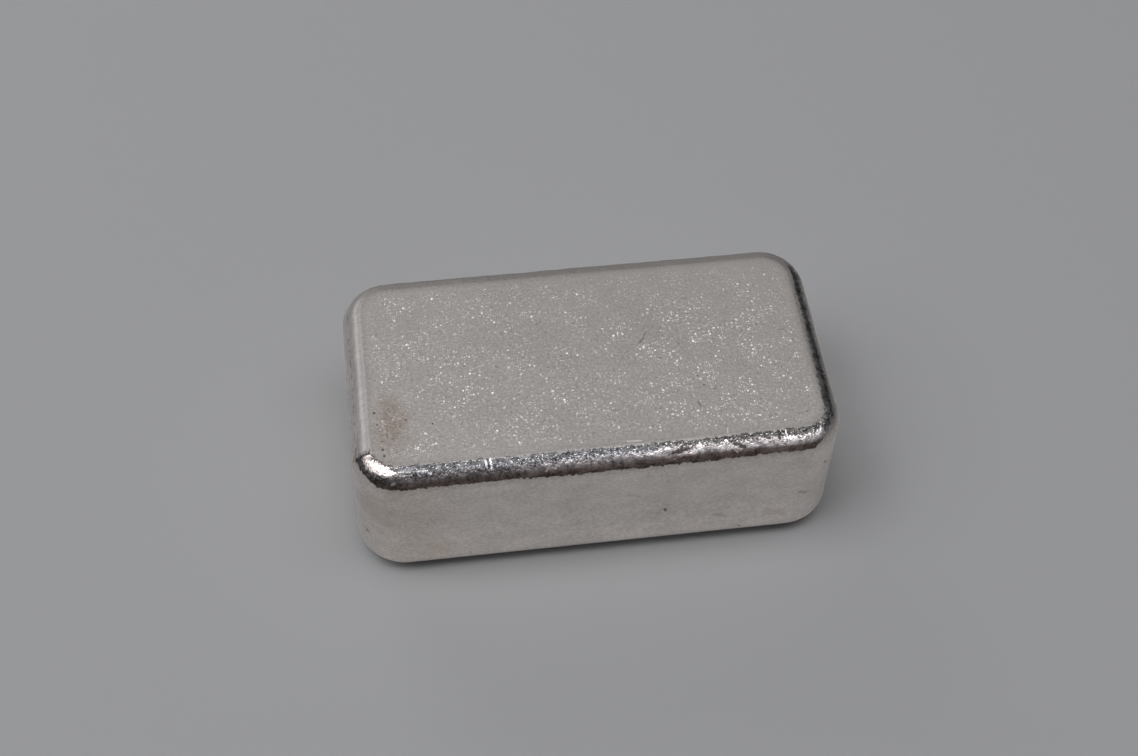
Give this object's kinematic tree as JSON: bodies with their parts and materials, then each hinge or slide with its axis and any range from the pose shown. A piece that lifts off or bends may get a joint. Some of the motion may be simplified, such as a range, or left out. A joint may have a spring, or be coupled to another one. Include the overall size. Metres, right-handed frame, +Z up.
{
  "type": "silver bar",
  "caption": "Small cast silver bar with rounded upright corners, drafted satin sides, a frosted flat top and a burnished rim.",
  "frame": {"origin": "centre of the flat face the bar rests on", "axes": "+X along the bar's length, +Y across its width, +Z up from the resting face to the burnished top"},
  "size_m": [0.0522, 0.0278, 0.0174],
  "materials": {
    "silver": "satin"
  },
  "bodies": {
    "root": {"silver_bar": "silver"}
  },
  "joints": []
}
